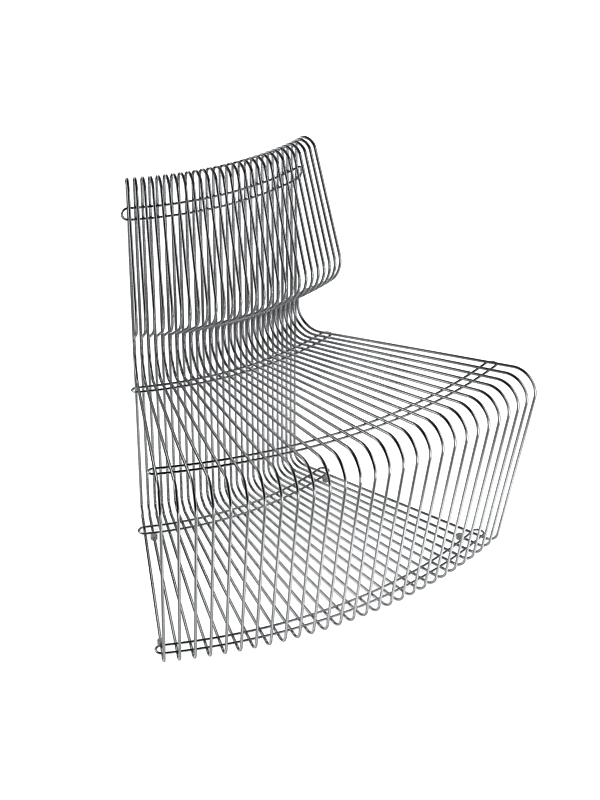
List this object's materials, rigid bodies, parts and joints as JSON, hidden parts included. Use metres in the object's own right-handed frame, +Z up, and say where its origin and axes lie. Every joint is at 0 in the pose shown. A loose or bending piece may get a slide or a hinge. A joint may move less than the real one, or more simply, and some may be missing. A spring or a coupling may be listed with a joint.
{
  "type": "wire mesh lounge chair",
  "caption": "Low armless chair made of upright bent wire loops fanned side by side, welded to racetrack cross wires, on plastic glides.",
  "frame": {"origin": "on the floor, under the middle of the chair's plan", "axes": "+Z up, the front of the seat faces -Y, +X to the left of a sitter"},
  "size_m": [0.7592, 0.5702, 0.72],
  "materials": {
    "chromed_wire": "polished",
    "chromed_cross_wire": "polished",
    "glide_plastic": "satin moulded"
  },
  "bodies": {
    "root": {"profile_wire_01": "chromed_wire", "profile_wire_02": "chromed_wire", "profile_wire_03": "chromed_wire", "profile_wire_04": "chromed_wire", "profile_wire_05": "chromed_wire", "profile_wire_06": "chromed_wire", "profile_wire_07": "chromed_wire", "profile_wire_08": "chromed_wire", "profile_wire_09": "chromed_wire", "profile_wire_10": "chromed_wire", "profile_wire_11": "chromed_wire", "profile_wire_12": "chromed_wire", "profile_wire_13": "chromed_wire", "profile_wire_14": "chromed_wire", "profile_wire_15": "chromed_wire", "profile_wire_16": "chromed_wire", "profile_wire_17": "chromed_wire", "profile_wire_18": "chromed_wire", "profile_wire_19": "chromed_wire", "profile_wire_20": "chromed_wire", "profile_wire_21": "chromed_wire", "profile_wire_22": "chromed_wire", "profile_wire_23": "chromed_wire", "profile_wire_24": "chromed_wire", "profile_wire_25": "chromed_wire", "profile_wire_26": "chromed_wire", "profile_wire_27": "chromed_wire", "profile_wire_28": "chromed_wire", "back_cross_wire": "chromed_cross_wire", "seat_rear_cross_wire": "chromed_cross_wire", "seat_front_cross_wire": "chromed_cross_wire", "base_rear_cross_wire": "chromed_cross_wire", "base_front_cross_wire": "chromed_cross_wire", "glide_front_left": "glide_plastic", "glide_front_right": "glide_plastic", "glide_rear_left": "glide_plastic", "glide_rear_right": "glide_plastic"}
  },
  "joints": []
}
